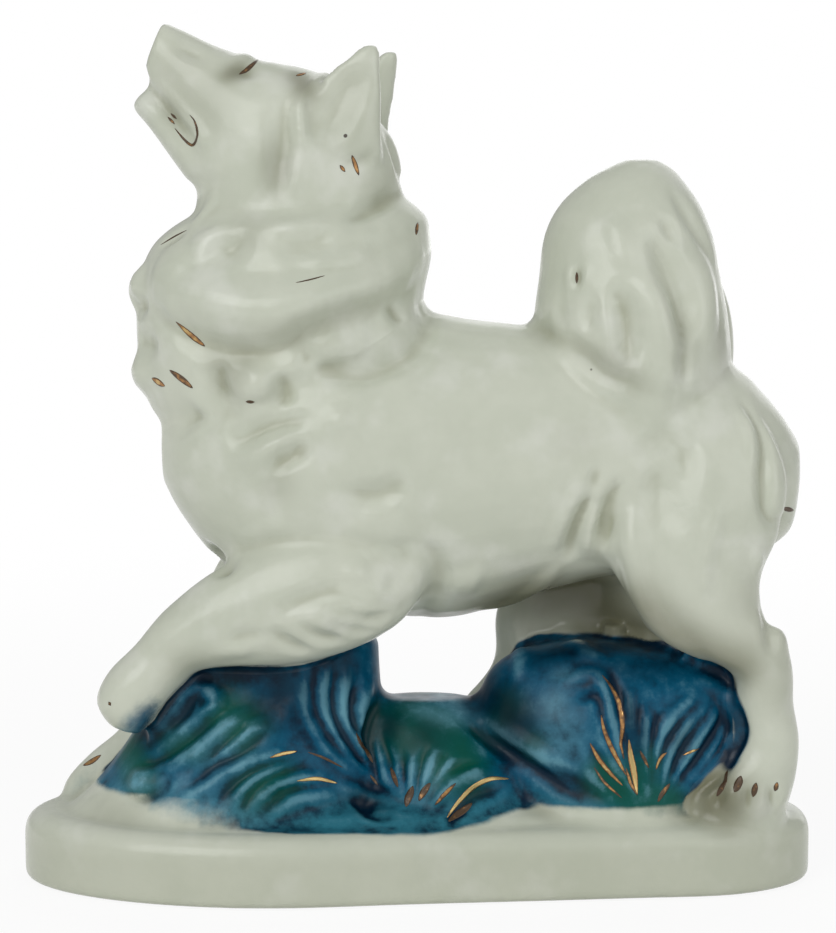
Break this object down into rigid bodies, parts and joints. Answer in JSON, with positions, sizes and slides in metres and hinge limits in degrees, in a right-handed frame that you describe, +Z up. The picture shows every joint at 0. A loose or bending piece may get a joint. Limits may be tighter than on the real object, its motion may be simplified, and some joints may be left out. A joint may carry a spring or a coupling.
{
  "type": "ceramic dog figurine",
  "caption": "Glazed porcelain figurine of a striding spitz-type dog, head raised and mouth open, tail curled, on washed blue rocks and an oval plinth.",
  "frame": {"origin": "centre of the plinth's foot, on the surface that the figurine stands on", "axes": "+Z up, -X towards the dog's nose, -Y towards the dog's left side"},
  "size_m": [0.1572, 0.0604, 0.1683],
  "materials": {
    "white_glaze": "glossy glaze, slightly grey green, with gold strokes",
    "blue_glaze": "glossy glaze over a washed blue, teal and green underglaze",
    "gold_lustre": "fired gold lustre strokes, worn brown at their edges"
  },
  "bodies": {
    "root": {"plinth": "white_glaze", "front_rock": "blue_glaze", "middle_rock": "blue_glaze", "rear_rock": "blue_glaze", "torso": "white_glaze", "mane": "white_glaze", "head": "white_glaze", "lower_jaw": "white_glaze", "left_ear": "white_glaze", "right_ear": "white_glaze", "left_foreleg": "white_glaze", "right_foreleg": "white_glaze", "left_hind_leg": "white_glaze", "right_hind_leg": "white_glaze", "tail": "white_glaze"}
  },
  "joints": []
}
